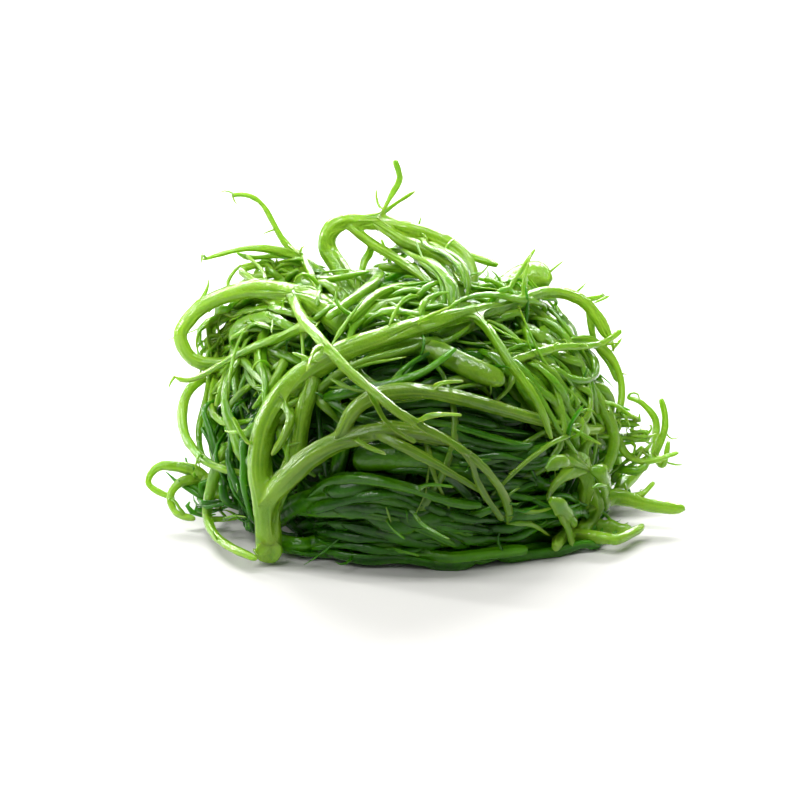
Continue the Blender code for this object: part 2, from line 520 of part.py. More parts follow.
class Tangle:
    """All the strands as one set of points, so that they can be eased apart together."""

    def __init__(self, strands):
        self.strands = strands
        self.first = np.cumsum([0] + [len(s.points) for s in strands])
        self.points = np.concatenate([s.points for s in strands])
        self.rest = self.points.copy()
        self.radii = np.concatenate([s.radii * s.breadth for s in strands])
        self.owner = np.concatenate([np.full(len(s.points), k) for k, s in enumerate(strands)])
        names = sorted({s.frond for s in strands})
        self.frond = np.array([names.index(s.frond) for s in strands])[self.owner]
        self.along = np.concatenate([walk(s.points) for s in strands])
        self.ease = np.array([s.kind[1] for s in strands])[self.owner]
        self.sunk = np.array([s.kind is SUNK for s in strands])[self.owner]
        inside = np.ones(len(self.owner), bool)
        inside[self.first[1:] - 1] = False
        self.pieces = np.nonzero(inside)[0]

    def near_pairs(self):
        """The pairs of line pieces that are close enough to touch, but for those that join."""
        i = self.pieces
        middles = (self.points[i] + self.points[i + 1]) / 2
        reach = np.linalg.norm(self.points[i + 1] - self.points[i], axis=1) / 2 + self.radii[i] + GAP
        found = []
        for k in range(len(i)):
            gap = np.linalg.norm(middles[k + 1:] - middles[k], axis=1)
            others = np.nonzero(gap < reach[k + 1:] + reach[k] + NEAR)[0] + k + 1
            found.append(np.stack((np.full(len(others), k), others), axis=1))
        pairs = i[np.concatenate(found)]
        a, b = pairs[:, 0], pairs[:, 1]
        both = self.radii[a] + self.radii[b]
        same_strand = self.owner[a] == self.owner[b]
        same_frond = (self.frond[a] == self.frond[b]) & ~same_strand
        bound = same_strand & (abs(self.along[a] - self.along[b]) < 4 * both + 3 * MM)
        rooted = same_frond & (np.minimum(self.along[a], self.along[b]) < 5 * both)
        return pairs[~(bound | rooted)]

    def part(self, pairs):
        """Moves line pieces that are too close away from each other."""
        a, b = pairs[:, 0], pairs[:, 1]
        p, q = self.points[a], self.points[b]
        p_way, q_way = self.points[a + 1] - p, self.points[b + 1] - q
        s, t, gap = closest_between(p, p_way, q, q_way)
        far = np.linalg.norm(gap, axis=1)
        crossing = np.cross(p_way, q_way)
        crossing *= np.sign((crossing * (p - HEAP_CENTRE)).sum(1))[:, None]
        gap = np.where(far[:, None] > 1e-6, gap, crossing)
        way = gap / np.maximum(np.linalg.norm(gap, axis=1), 1e-12)[:, None]
        r_a = self.radii[a] * (1 - s) + self.radii[a + 1] * s
        r_b = self.radii[b] * (1 - t) + self.radii[b + 1] * t
        short = r_a + r_b + GAP - far
        hit = short > 0
        a, b, s, t, way, short = a[hit], b[hit], s[hit], t[hit], way[hit], short[hit]
        share = self.ease[a] / (self.ease[a] + self.ease[b])
        moved = np.zeros_like(self.points)
        count = np.zeros(len(self.points))
        for index, weight, part, sign in ((a, 1 - s, share, 1), (a + 1, s, share, 1),
                                          (b, 1 - t, 1 - share, -1), (b + 1, t, 1 - share, -1)):
            np.add.at(moved, index, way * (sign * short * part * weight)[:, None])
            np.add.at(count, index, weight)
        self.points += moved / np.maximum(count, 1)[:, None] * PUSH

    def keep_off(self):
        """Keeps the strands above the floor, and all but the sunk ones out of the heart."""
        self.points[:, 2] = np.maximum(self.points[:, 2], self.radii + FLOOR_GAP)
        radii = HEART_RADII + HEART_LUMP + GAP + self.radii[:, None]
        depth = np.linalg.norm(self.points / radii, axis=1)
        buried = (depth < 1) & ~self.sunk
        self.points[buried] /= depth[buried, None]

    def spread(self, amount):
        """Spreads each shift along its strand, and carries the branches with their parents."""
        shift = self.points - self.rest
        for k, strand in enumerate(self.strands):
            own = shift[self.first[k]:self.first[k + 1]]
            if strand.parent is not None:
                parent = self.strands.index(strand.parent)
                own[0] = shift[self.first[parent] + strand.knot]
            middle = (own[:-2] + own[2:]) / 2
            own[1:-1] += (middle - own[1:-1]) * amount
        self.points = self.rest + shift

    def settle(self):
        """Eases the strands apart until no two fronds touch."""
        for step in range(SETTLING_STEPS):
            if step % PAIRS_EVERY == 0:
                pairs = self.near_pairs()
            self.part(pairs)
            self.keep_off()
            self.spread(FIRST_SPREAD * (1 - step / SETTLING_STEPS) ** 2 + LAST_SPREAD)
        for k, strand in enumerate(self.strands):
            strand.points = self.points[self.first[k]:self.first[k + 1]].copy()


class Room:
    """The space that the strands fill, as closely spaced points with a radius each."""

    def __init__(self):
        self.points = np.empty((0, 3))
        self.radii = np.empty(0)
        self.fronds = np.empty(0, object)

    def fill(self, frond, points, radii):
        """Adds a strand's points."""
        self.points = np.concatenate((self.points, points))
        self.radii = np.concatenate((self.radii, radii))
        self.fronds = np.concatenate((self.fronds, [frond] * len(points)))

    def gap(self, frond, points, radii):
        """The least gap between these points and those of the other fronds."""
        other = self.fronds != frond
        gaps = np.linalg.norm(points[:, None] - self.points[other][None], axis=2)
        return (gaps - radii[:, None] - self.radii[other][None]).min()


def shoot_route(rng, root, way, radius, length):
    """A short curl that leaves a strand sideways and bends along it."""
    outward = rng.normal(size=3) + SHOOT_OUTWARD * unit(root - HEAP_CENTRE)
    side = unit(outward - way * (outward @ way))
    curl = np.cross(way, side) * rng.uniform(-SHOOT_CURL, SHOOT_CURL)
    share = np.linspace(0, 1, SHOOT_RINGS)[:, None]
    away = (radius / 2 + length * share) * (1 - SHOOT_DROOP * share)
    return root + side * away + (way * SHOOT_ALONG + curl) * length * share ** SHOOT_BEND


def shoots(strands):
    """Short side shoots along the fronds, where there is room for them."""
    rng = np.random.default_rng(SEED + 2)
    room, lines = Room(), []
    for strand in strands:
        line = refined(strand.points)
        radii = refined(np.stack([strand.radii * strand.breadth] * 3, axis=1))[:, 0]
        room.fill(strand.frond, line, radii)
        lines.append((strand.frond, line, radii))
    taper = np.linspace(*SHOOT_THICKNESS, SHOOT_RINGS) * MM / 2
    found = []
    for frond, line, radii in lines:
        if frond == HEART:
            continue
        along = walk(line)
        at = rng.uniform(*SHOOT_EVERY) * MM
        while at < along[-1] - SHOOT_END:
            i = int(np.searchsorted(along, at))
            if radii[i] < SHOOT_LEAST_RADIUS:
                break
            way = unit(line[min(i + 1, len(line) - 1)] - line[i - 1])
            length = rng.uniform(*SHOOT_LENGTH) * MM
            for _ in range(SHOOT_TRIES):
                points = shoot_route(rng, line[i], way, radii[i], length)
                clear = room.gap(frond, points, taper) > GAP
                if clear and (points[:, 2] - taper).min() > FLOOR_GAP:
                    found.append(Strand(frond, points, SHOOT_THICKNESS))
                    room.fill(frond, points, taper)
                    break
            at += rng.uniform(*SHOOT_EVERY) * MM
    return found


def mesh_object(mesh, name):
    """A new object that holds the mesh, as triangles that face outwards."""
    bmesh.ops.recalc_face_normals(mesh, faces=mesh.faces)
    bmesh.ops.triangulate(mesh, faces=mesh.faces)
    data = bpy.data.meshes.new(name)
    mesh.to_mesh(data)
    mesh.free()
    thing = bpy.data.objects.new(name, data)
    bpy.context.scene.collection.objects.link(thing)
    return thing


def tube(strand, name):
    """A closed tube along the strand, oval where its breadth is over one, with a short tip."""
    points, radii, sides = strand.points, strand.radii, strand.sides
    mesh = bmesh.new()
    ways = np.gradient(points, axis=0)
    ways /= np.linalg.norm(ways, axis=1)[:, None]
    outward = points[0] - HEAP_CENTRE
    thin = unit(outward - ways[0] * (outward @ ways[0]))
    rings = []
    for point, way, radius in zip(points, ways, radii):
        thin = unit(thin - way * (thin @ way))
        broad = np.cross(way, thin) * strand.breadth
        turns = 2 * math.pi * (np.arange(sides) + 0.5) / sides
        ring = [point + (thin * math.sin(t) + broad * math.cos(t)) * radius for t in turns]
        rings.append([mesh.verts.new(place) for place in ring])
    for ring, after in zip(rings, rings[1:]):
        for k in range(sides):
            mesh.faces.new((ring[k - 1], ring[k], after[k], after[k - 1]))
    mesh.faces.new(rings[0][::-1])
    tip = mesh.verts.new(points[-1] + ways[-1] * radii[-1] * TIP_LENGTH)
    for k in range(sides):
        mesh.faces.new((rings[-1][k - 1], rings[-1][k], tip))
    return mesh_object(mesh, name)


def heart_mound(name):
    """The body of the heart: a low lumpy mound with a flat underside."""
    mesh = bmesh.new()
    rings = []
    for level in range(HEART_RINGS):
        rise = math.radians(90 * level / HEART_RINGS)
        ring = []
        for k in range(HEART_SIDES):
            turn = 2 * math.pi * k / HEART_SIDES
            lump = math.sin(3 * turn + 2.1 * level) * math.cos(2 * turn - 1.3 * level)
            radii = HEART_RADII + HEART_LUMP * lump * (level > 0)
            ring.append(mesh.verts.new((radii[0] * math.cos(rise) * math.cos(turn),
                                        radii[1] * math.cos(rise) * math.sin(turn),
                                        radii[2] * math.sin(rise))))
        rings.append(ring)
    for ring, after in zip(rings, rings[1:]):
        for k in range(HEART_SIDES):
            mesh.faces.new((ring[k - 1], ring[k], after[k], after[k - 1]))
    mesh.faces.new(rings[0][::-1])
    top = mesh.verts.new((0, 0, HEART_RADII[2]))
    for k in range(HEART_SIDES):
        mesh.faces.new((rings[-1][k - 1], rings[-1][k], top))
    return mesh_object(mesh, name)


def shells_of(mesh):
    """The sets of joined vertices of the mesh, the smallest first."""
    left, shells = set(mesh.verts), []
    while left:
        shell, edge = set(), [left.pop()]
        while edge:
            vertex = edge.pop()
            shell.add(vertex)
            others = {link.other_vert(vertex) for link in vertex.link_edges} & left
            left -= others
            edge += others
        shells.append(shell)
    return sorted(shells, key=len)


def keep_main_shell(data):
    """Fills the hollows that the joining sealed and drops loose scraps."""
    mesh = bmesh.new()
    mesh.from_mesh(data)
    for shell in shells_of(mesh)[:-1]:
        bmesh.ops.delete(mesh, geom=list(shell), context="VERTS")
    mesh.to_mesh(data)
    mesh.free()


def fuse(name, solids):
    """Joins the solids into the first of them, which becomes the node."""
    base = solids[0]
    base.name = base.data.name = name
    if len(solids) == 1:
        return base
    group = bpy.data.collections.new(name + "_strands")
    for solid in solids[1:]:
        group.objects.link(solid)
    join = base.modifiers.new("join", "BOOLEAN")
    join.operation = "UNION"
    join.operand_type = "COLLECTION"
    join.collection = group
    join.solver = "MANIFOLD"
    bpy.context.view_layer.objects.active = base
    bpy.ops.object.modifier_apply(modifier=join.name)
    for solid in solids[1:]:
        bpy.data.objects.remove(solid)
    bpy.data.collections.remove(group)
    keep_main_shell(base.data)
    return base


def finish_surface(node, colour):
    """Smooth shading and the wet, rubbery material."""
    material = bpy.data.materials.new(node.name)
    material.use_nodes = True
    shader = material.node_tree.nodes["Principled BSDF"]
    shader.inputs["Base Color"].default_value = colour
    shader.inputs["Roughness"].default_value = WET_ROUGHNESS
    shader.inputs["Metallic"].default_value = 0.0
    node.data.materials.clear()
    node.data.materials.append(material)
    node.data.shade_smooth()


def build():
    """Clears the scene, settles the strands and makes one object for each frond."""
    for thing in list(bpy.data.objects):
        bpy.data.objects.remove(thing)
    strands = front_strands() + covered_strands() + heart_strands()
    Tangle(strands).settle()
    strands += shoots(strands)
    for frond in dict.fromkeys(strand.frond for strand in strands):
        own = [strand for strand in strands if strand.frond == frond]
        solids = [tube(strand, f"{frond}_strand_{k}") for k, strand in enumerate(own)]
        if frond == HEART:
            solids.insert(0, heart_mound(frond))
        finish_surface(fuse(frond, solids), HEART_GREEN if frond == HEART else FROND_GREEN)


build()
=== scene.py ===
import math

import bpy
import numpy as np
from mathutils import Matrix, Vector
from mathutils.bvhtree import BVHTree


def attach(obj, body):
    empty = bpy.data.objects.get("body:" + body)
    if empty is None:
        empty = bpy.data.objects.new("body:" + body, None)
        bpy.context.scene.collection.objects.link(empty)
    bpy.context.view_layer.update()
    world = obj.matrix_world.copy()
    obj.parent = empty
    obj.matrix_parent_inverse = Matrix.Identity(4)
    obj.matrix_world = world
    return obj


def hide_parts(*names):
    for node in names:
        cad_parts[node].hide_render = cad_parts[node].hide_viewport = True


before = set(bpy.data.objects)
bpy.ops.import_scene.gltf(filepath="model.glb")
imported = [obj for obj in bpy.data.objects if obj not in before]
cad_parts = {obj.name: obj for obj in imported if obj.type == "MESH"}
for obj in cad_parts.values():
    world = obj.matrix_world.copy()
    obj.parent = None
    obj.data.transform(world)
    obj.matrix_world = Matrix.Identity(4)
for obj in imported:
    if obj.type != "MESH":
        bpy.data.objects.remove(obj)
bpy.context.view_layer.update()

# The matted heart of the heap: older fronds, pressed together until they lie as one low mass.
# Salt has drawn the water out of it, so it is limp and wet all over. It is dark green, partly
# its own colour and partly painted shade, as it lies under the other fronds. Its flat underside is
# what the heap stands on.
MM = 0.001
UNDERSIDE = 0.0
REPEATED_WITHIN = 0.12 * MM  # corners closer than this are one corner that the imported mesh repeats
PULL_TURNS, PULL_SHARE, MOST_PULL = 3, 0.85, 0.6 * MM  # corners are pulled back out in turns
LUMP_SIZE, LUMP_HEIGHT = 2.4 * MM, 0.35 * MM  # the uneven thickness of a grown stem
RIDGE_HEIGHT = 0.07 * MM  # the wrinkles that salt draws lengthwise


def only(piece):
    """Makes this the one selected and active object."""
    bpy.ops.object.select_all(action="DESELECT")
    piece.select_set(True)
    bpy.context.view_layer.objects.active = piece


def corners(mesh):
    """The mesh's vertices as an array."""
    places = np.empty(len(mesh.vertices) * 3, np.float32)
    mesh.vertices.foreach_get("co", places)
    return places.reshape(-1, 3).astype(float)


def set_corners(mesh, places):
    """Puts the mesh's vertices there."""
    mesh.vertices.foreach_set("co", places.astype(np.float32).ravel())
    mesh.update()


def along_strands(mesh, places):
    """The way the strand runs at each vertex: the one along which the surface doesn't turn."""
    normals = np.empty(len(places) * 3, np.float32)
    mesh.vertices.foreach_get("normal", normals)
    normals = normals.reshape(-1, 3)
    turning = normals[:, :, None] * normals[:, None, :]
    neighbours_away = 10
    for _ in range(neighbours_away):
        turning = spread_over(mesh, turning.reshape(-1, 9)).reshape(-1, 3, 3)
    return np.linalg.eigh(turning)[1][:, :, 0]


def spread_over(mesh, values, weights=None):
    """Each vertex's values averaged with those of its neighbours, weighted by edge."""
    ends = edge_ends(mesh)
    if weights is None:
        weights = np.ones((len(ends), 2))
    total = values.copy()
    share = np.ones(len(values))
    for here, there, weight in ((0, 1, weights[:, 0]), (1, 0, weights[:, 1])):
        share += np.bincount(ends[:, here], weight, len(values))
        for k in range(values.shape[1]):
            sent = weight * values[ends[:, there], k]
            total[:, k] += np.bincount(ends[:, here], sent, len(values))
    return total / share[:, None]


def edge_ends(mesh):
    """The two vertices of each of the mesh's edges."""
    ends = np.empty(len(mesh.edges) * 2, np.int32)
    mesh.edges.foreach_get("vertices", ends)
    return ends.reshape(-1, 2)


def grooved(mesh, depth):
    """Draws fine ridges and grooves lengthwise on every strand, kept as the attribute grain."""
    places = corners(mesh)
    ways = along_strands(mesh, places)
    ends = edge_ends(mesh)
    runs = places[ends[:, 1]] - places[ends[:, 0]]
    runs /= np.maximum(np.linalg.norm(runs, axis=1), 1e-9)[:, None]
    pull, straightness, length = 6, 14, 22  # how strongly, how narrowly and how far a ridge runs on
    along = [np.abs((runs * ways[ends[:, k]]).sum(1)) ** straightness for k in (0, 1)]
    weights = pull * np.stack(along, axis=1)
    grain = np.random.default_rng(3).normal(size=(len(places), 1))
    for _ in range(length):
        grain = spread_over(mesh, grain, weights)
    grain = grain[:, 0] / max(grain.std(), 1e-9)
    grain = np.clip(grain, -2, 2)
    normals = np.empty(len(places) * 3, np.float32)
    mesh.vertices.foreach_get("normal", normals)
    set_corners(mesh, places + normals.reshape(-1, 3) * (grain * depth)[:, None])
    kept = mesh.attributes.new("grain", "FLOAT", "POINT")
    kept.data.foreach_set("value", (grain / 4 + 0.5).astype(np.float32))


def rounded(node, levels):
    """A copy of a CAD node, rounded so that the flesh still passes through the node's corners."""
    piece = bpy.data.objects.new(node + "_flesh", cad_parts[node].data.copy())
    bpy.context.scene.collection.objects.link(piece)
    piece.data.materials.clear()
    only(piece)
    bpy.ops.object.mode_set(mode="EDIT")
    bpy.ops.mesh.select_all(action="SELECT")
    bpy.ops.mesh.remove_doubles(threshold=REPEATED_WITHIN)
    widest = math.radians(70)
    bpy.ops.mesh.tris_convert_to_quads(face_threshold=widest, shape_threshold=widest)
    bpy.ops.object.mode_set(mode="OBJECT")
    soft = piece.modifiers.new("soften", "SUBSURF")
    soft.levels = soft.render_levels = 1
    held = corners(piece.data)
    cage = held.copy()
    for _ in range(PULL_TURNS):
        graph = bpy.context.evaluated_depsgraph_get()
        evaluated = piece.evaluated_get(graph)
        smooth = corners(evaluated.to_mesh())[:len(held)]
        evaluated.to_mesh_clear()
        step = (held - smooth) * PULL_SHARE
        size = np.linalg.norm(step, axis=1)[:, None]
        cage += step * np.minimum(1, MOST_PULL / np.maximum(size, 1e-9))
        set_corners(piece.data, cage)
    soft.levels = soft.render_levels = levels
    bpy.ops.object.modifier_apply(modifier=soft.name)
    lumps = piece.modifiers.new("lumps", "DISPLACE")
    lumps.texture = uneven
    lumps.texture_coords = "LOCAL"
    lumps.strength = LUMP_HEIGHT
    lumps.mid_level = 0.5
    bpy.ops.object.modifier_apply(modifier=lumps.name)
    grooved(piece.data, RIDGE_HEIGHT)
    places = corners(piece.data)
    places[:, 2] = np.maximum(places[:, 2], UNDERSIDE)
    set_corners(piece.data, places)
    bpy.ops.object.shade_smooth()
    return piece


uneven = bpy.data.textures.new("uneven_growth", "CLOUDS")
uneven.noise_scale = LUMP_SIZE
uneven.noise_depth = 1


def linear(hex_colour):
    """An sRGB hex colour as linear red, green, blue and alpha."""
    parts = [int(hex_colour[k:k + 2], 16) / 255 for k in (1, 3, 5)]
    return [c / 12.92 if c <= 0.04045 else ((c + 0.055) / 1.055) ** 2.4 for c in parts] + [1.0]


def add(tree, kind, settings=None, links=None):
    """Adds a node to the tree with its settings, and links its inputs."""
    node = tree.nodes.new("ShaderNode" + kind)
    for name, value in (settings or {}).items():
        if name == "stops":
            ramp = node.color_ramp
            while len(ramp.elements) < len(value):
                ramp.elements.new(0.5)
            for element, (place, colour) in zip(ramp.elements, value):
                element.position = place
                element.color = linear(colour)
        elif hasattr(node, str(name)):
            setattr(node, name, value)
        else:
            node.inputs[name].default_value = value
    for name, source in (links or {}).items():
        tree.links.new(source, node.inputs[name])
    return node


def wet_skin(name, stops, glow, gloss):
    """Rubbery seaweed flesh under a film of brine.

    The flesh is translucent. Its tone runs through stops, from the inside of the heap to its
    outside, painted darker inside as shade. glow is a painted glow on faces turned down, standing
    in for the light that comes through the flesh. Painted shade darkens it in the hollow at the
    heap's front. The film of brine is the coat: gloss is how much of it there is, and it ripples
    less than the flesh under it.
    """
    material = bpy.data.materials.new(name)
    material.use_nodes = True
    tree = material.node_tree
    tree.nodes.clear()
    place = add(tree, "TexCoord").outputs["Object"]
    # How far out of the heap: 0 at its middle, 1 on an outline 88 x 80 x 72 mm. The stops are
    # painted darker towards the middle, as shade.
    centred = add(tree, "Mapping", {
        "vector_type": "POINT", "Location": (0, 0, -16 / 36),
        "Scale": (1 / 0.044, 1 / 0.040, 1 / 0.036),
    }, {"Vector": place})
    out = add(tree, "VectorMath", {"operation": "LENGTH"}, {0: centred.outputs["Vector"]})
    reach = add(tree, "MapRange", {"From Min": 0.45, "From Max": 1.08},
                {"Value": out.outputs["Value"]})
    # From strand to strand the green differs every 11 mm, and it is blotched every 2.4 mm.
    strand = add(tree, "TexNoise", {"Scale": 90.0, "Detail": 2.0, "Roughness": 0.6},
                 {"Vector": place})
    blotch = add(tree, "TexNoise", {"Scale": 420.0, "Detail": 3.0, "Roughness": 0.65},
                 {"Vector": place})
    varied = add(tree, "Math", {"operation": "MULTIPLY_ADD", 1: 0.9},
                 {0: strand.outputs["Fac"], 2: reach.outputs["Result"]})
    spotted = add(tree, "Math", {"operation": "MULTIPLY_ADD", 1: 0.25},
                  {0: blotch.outputs["Fac"], 2: varied.outputs["Value"]})
    share = add(tree, "MapRange", {"From Min": 0.45, "From Max": 1.65},
                {"Value": spotted.outputs["Value"]})
    # The ridges are paler than the grooves between them: painted shade in the grooves. On the fine
    # branches grain is a tone that differs at random.
    grain = add(tree, "Attribute", {"attribute_name": "grain"})
    grain_and_groove_shade = add(tree, "Math", {"operation": "MULTIPLY_ADD", 1: 0.5},
                   {0: grain.outputs["Fac"], 2: share.outputs["Result"]})
    tone = add(tree, "Math", {"operation": "SUBTRACT", 1: 0.25}, {0: grain_and_groove_shade.outputs["Value"]})
    flesh = add(tree, "ValToRGB", {"stops": stops}, {"Fac": tone.outputs["Value"]})
    # Painted glow: faces turned down are lightened with the glow colour, standing in for light that
    # enters from above and behind and comes out of the undersides.
    facing = add(tree, "NewGeometry")
    lit = add(tree, "VectorMath", {"operation": "DOT_PRODUCT", 1: (0.1, 0.45, 0.88)},
              {0: facing.outputs["Normal"]})
    under = add(tree, "MapRange", {"From Min": 0.75, "From Max": -0.5},
                {"Value": lit.outputs["Value"]})
    bright = add(tree, "Mix", {"data_type": "RGBA", "blend_type": "SCREEN", 7: linear(glow)},
                 {0: under.outputs["Result"], 6: flesh.outputs["Color"]})
    # Painted shade: the flesh is darkened in a hollow at the front, 70 x 60 x 52 mm, with an uneven
    # edge.
    front = add(tree, "Mapping", {
        "vector_type": "POINT", "Location": (-2 / 35, 36 / 30, -24 / 26),
        "Scale": (1 / 0.035, 1 / 0.030, 1 / 0.026),
    }, {"Vector": place})
    hollow = add(tree, "VectorMath", {"operation": "LENGTH"}, {0: front.outputs["Vector"]})
    edge = add(tree, "Math", {"operation": "MULTIPLY_ADD", 1: 0.5},
               {0: strand.outputs["Fac"], 2: hollow.outputs["Value"]})
    depth = add(tree, "MapRange", {
        "interpolation_type": "SMOOTHSTEP", "From Min": 0.6, "From Max": 1.35,
        "To Min": 0.52, "To Max": 0.96,
    }, {"Value": edge.outputs["Value"]})
    shaded = add(tree, "VectorMath", {"operation": "SCALE"},
                 {0: bright.outputs[2], "Scale": depth.outputs["Result"]})
    # Rubbery skin, smoother where the blotches are dark, with ripples every millimetre.
    skin = add(tree, "MapRange", {
        "From Min": 0.3, "From Max": 0.7, "To Min": 0.10, "To Max": 0.26,
    }, {"Value": blotch.outputs["Fac"]})
    ripple = add(tree, "TexNoise", {"Scale": 950.0, "Detail": 3.0, "Roughness": 0.6},
                 {"Vector": place})
    bump = add(tree, "Bump", {"Strength": 0.7, "Distance": 0.4 * MM},
               {"Height": ripple.outputs["Fac"]})
    brine = add(tree, "Bump", {"Strength": 0.6, "Distance": 0.25 * MM},
                {"Height": ripple.outputs["Fac"]})
    shader = add(tree, "BsdfPrincipled", {
        "Subsurface Weight": 0.4, "Subsurface Radius": (0.9, 1.6, 0.25),
        "Subsurface Scale": 1.6 * MM, "Transmission Weight": 0.4, "IOR": 1.38,
        "Coat Weight": gloss, "Coat Roughness": 0.03, "Coat IOR": 1.32,
        "Specular IOR Level": 0.15,
    }, {
        "Base Color": shaded.outputs["Vector"], "Roughness": skin.outputs["Result"],
        "Normal": bump.outputs["Normal"], "Coat Normal": brine.outputs["Normal"],
    })
    add(tree, "OutputMaterial", {}, {"Surface": shader.outputs["BSDF"]})
    return material


# Seaweed flesh with the air and the water pressed out of it, under the rest of the heap. It is a
# deep bottle green, partly its own colour and partly painted shade, and its brine has run off, so
# it is only half as glossy.
pressed_flesh = wet_skin("pressed_shaded_flesh", (
    (0.0, "#0C2600"), (0.5, "#215602"), (1.0, "#468A08"),
), glow="#0C2000", gloss=0.45)
HEART_LEVELS = 2
heart = rounded("matted_heart", HEART_LEVELS)
heart.data.materials.append(pressed_flesh)
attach(heart, "root")
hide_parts("matted_heart")

# The fronds: whole plants, each a stem with its forks and side shoots, round and rubbery with
# a firm springy core. Light passes through them. The ones on top get a lit copy of the flesh,
# with a painted yellow green glow, and those inside the heap get a shaded copy, painted dark.
THICKEST = ("forked_stalk_frond", "left_loop_frond", "top_loop_frond")
SHADED = ("front_foot_frond", "lower_bundle_frond", "middle_sweep_frond", "cross_frond",
          "left_dark_frond", "inner_frond", "front_inner_frond", "base_frond")
LEVELS, THICKEST_LEVELS = 2, 3
# Blanched seaweed flesh, firm and full of water under a thick film of brine: the lit copy, a
# clear yellow green with a painted glow where light comes through, and sharp white glints.
upper_flesh = wet_skin("lit_green_flesh", (
    (0.0, "#285802"), (0.4, "#5A9A04"), (1.0, "#94C230"),
), glow="#365600", gloss=0.85)
# The same flesh where other fronds lie over it: a shaded copy, painted a darker, fuller green with
# little painted glow for the less light that reaches it, and with softer glints.
shaded_flesh = wet_skin("shaded_green_flesh", (
    (0.0, "#103400"), (0.5, "#2C7402"), (1.0, "#66B20A"),
), glow="#143400", gloss=0.55)
fronds = []
for node in sorted(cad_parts):
    if node == "matted_heart":
        continue
    frond = rounded(node, THICKEST_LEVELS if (node in THICKEST) else LEVELS)
    frond.data.materials.append(shaded_flesh if node.startswith(SHADED) else upper_flesh)
    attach(frond, "root")
    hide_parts(node)
    fronds.append(frond)

# The fine branches: the outer ends of the same plants, up to two and a half millimetres thick at
# the root and hair thin at the tip. They lie in sheaves between the thick fronds, where the
# heap's weight has combed them side by side, and as single threads over its front.
VIEW_ELEVATION = math.radians(19.5)
VIEW_DISTANCE = 0.700
VIEW_SQUARES, VIEW_SQUARE = 800, 0.2 * MM  # the front view is 800 squares wide, each 0.2 mm
MIDDLE_SQUARE = VIEW_SQUARES / 2
EYE_ASIDE, SQUARES_UP = -1 * MM, 108  # where the view is centred, from the foot of the heap
FORWARD = np.array((0.0, math.cos(VIEW_ELEVATION), -math.sin(VIEW_ELEVATION)))
UPWARD = np.array((0.0, math.sin(VIEW_ELEVATION), math.cos(VIEW_ELEVATION)))
EYE = (np.array((EYE_ASIDE, 0.0, 0.0)) + UPWARD * SQUARES_UP * VIEW_SQUARE
       - FORWARD * VIEW_DISTANCE)
HEAP_CENTRE = np.array((0.0, 0.0, 16.0)) * MM
HEAP_RADII = np.array((42.0, 38.0, 33.0)) * MM  # of the rounded outline that branches lie on
LOWEST_ROUTE = 1.2 * MM
SHEAF_STEP, THREAD_STEP, LOOSE_STEP = 1.7 * MM, 0.8 * MM, 1.8 * MM  # from point to point
EIGHT_SIDED, SIX_SIDED, FOUR_SIDED = 2, 1, 0  # the bevel resolutions for that many sides
KEPT_OUT, OFF_FLOOR = 0.7, 0.2 * MM  # a branch on a frond sinks in by 0.3 of its radius
ENDS_DRAWN_IN = 5  # mm
TIP_SHARE = 0.35  # a tip's thickness, as a share of the root's
FORKING_POINTS = 12  # a branch with fewer points is too short to fork
rng = np.random.default_rng(7)


def surface_of(pieces):
    """One search tree over the surfaces of several pieces."""
    points, faces, start = [], [], 0
    for piece in pieces:
        mesh = piece.data
        points += [tuple(place) for place in corners(mesh)]
        faces += [[start + v for v in face.vertices] for face in mesh.polygons]
        start += len(mesh.vertices)
    return BVHTree.FromPolygons(points, faces)


def seen_at(squares, share):
    """Places under squares of the front view, on the heap's outline drawn in to a share of it."""
    squares = np.asarray(squares, float)
    across, up = squares[:, 0] - MIDDLE_SQUARE, MIDDLE_SQUARE - squares[:, 1]
    sight = (FORWARD * VIEW_DISTANCE + np.outer(across * VIEW_SQUARE, (1, 0, 0))
             + np.outer(up * VIEW_SQUARE, UPWARD))
    sight /= np.linalg.norm(sight, axis=1)[:, None]
    radii = HEAP_RADII * share
    start, run = (EYE - HEAP_CENTRE) / radii, sight / radii
    a, b = (run * run).sum(1), run @ start
    c = start @ start - 1
    reach = (-b - np.sqrt(np.maximum(b * b - a * c, 0))) / a
    floor = (LOWEST_ROUTE - EYE[2]) / sight[:, 2]
    return EYE + sight * np.minimum(reach, floor)[:, None]


def even(points, step):
    """The same line with its points this far apart, rounded where it turned."""
    points = np.asarray(points, float)
    along = np.concatenate(((0.0,), np.cumsum(np.linalg.norm(np.diff(points, axis=0), axis=1))))
    marks = np.linspace(0, along[-1], max(4, int(along[-1] / step) + 1))
    line = np.stack([np.interp(marks, along, points[:, k]) for k in range(3)], axis=1)
    turns, ease = 4, 0.7
    for _ in range(turns):
        line[1:-1] += ((line[:-2] + line[2:]) / 2 - line[1:-1]) * ease
    return line


def eased(line, radii, thick):
    """The line pushed out of the thick fronds, smoothed between pushes and kept off the floor."""
    turns, ease = 3, 0.5
    for turn in range(turns):
        for k, point in enumerate(line):
            near, normal, _, far = thick.find_nearest(Vector(point))
            inside = (Vector(point) - near).dot(normal) < 0
            want = radii[k] * KEPT_OUT
            if inside or far < want:
                line[k] = np.array(near + normal * want)
        if turn < turns - 1:
            line[1:-1] += ((line[:-2] + line[2:]) / 2 - line[1:-1]) * ease
    line[:, 2] = np.maximum(line[:, 2], radii + OFF_FLOOR)
    return line


def wavy(count, reach, turns):
    """A slow random sway along a line of this many points."""
    along = np.linspace(0, 1, count)
    sway = np.zeros((count, 3))
    for wave in range(1, turns + 1):
        size = rng.normal(0, reach / wave, 3)
        sway += size * np.sin(2 * math.pi * (wave * along[:, None] + rng.uniform(size=3)))
    return sway


def apart(points, radii, breadth):
    """The same strand without any point that lies on the one before it."""
    least = 0.02 * MM
    kept = np.append(True, np.linalg.norm(np.diff(points, axis=0), axis=1) > least)
    return points[kept], radii[kept], breadth


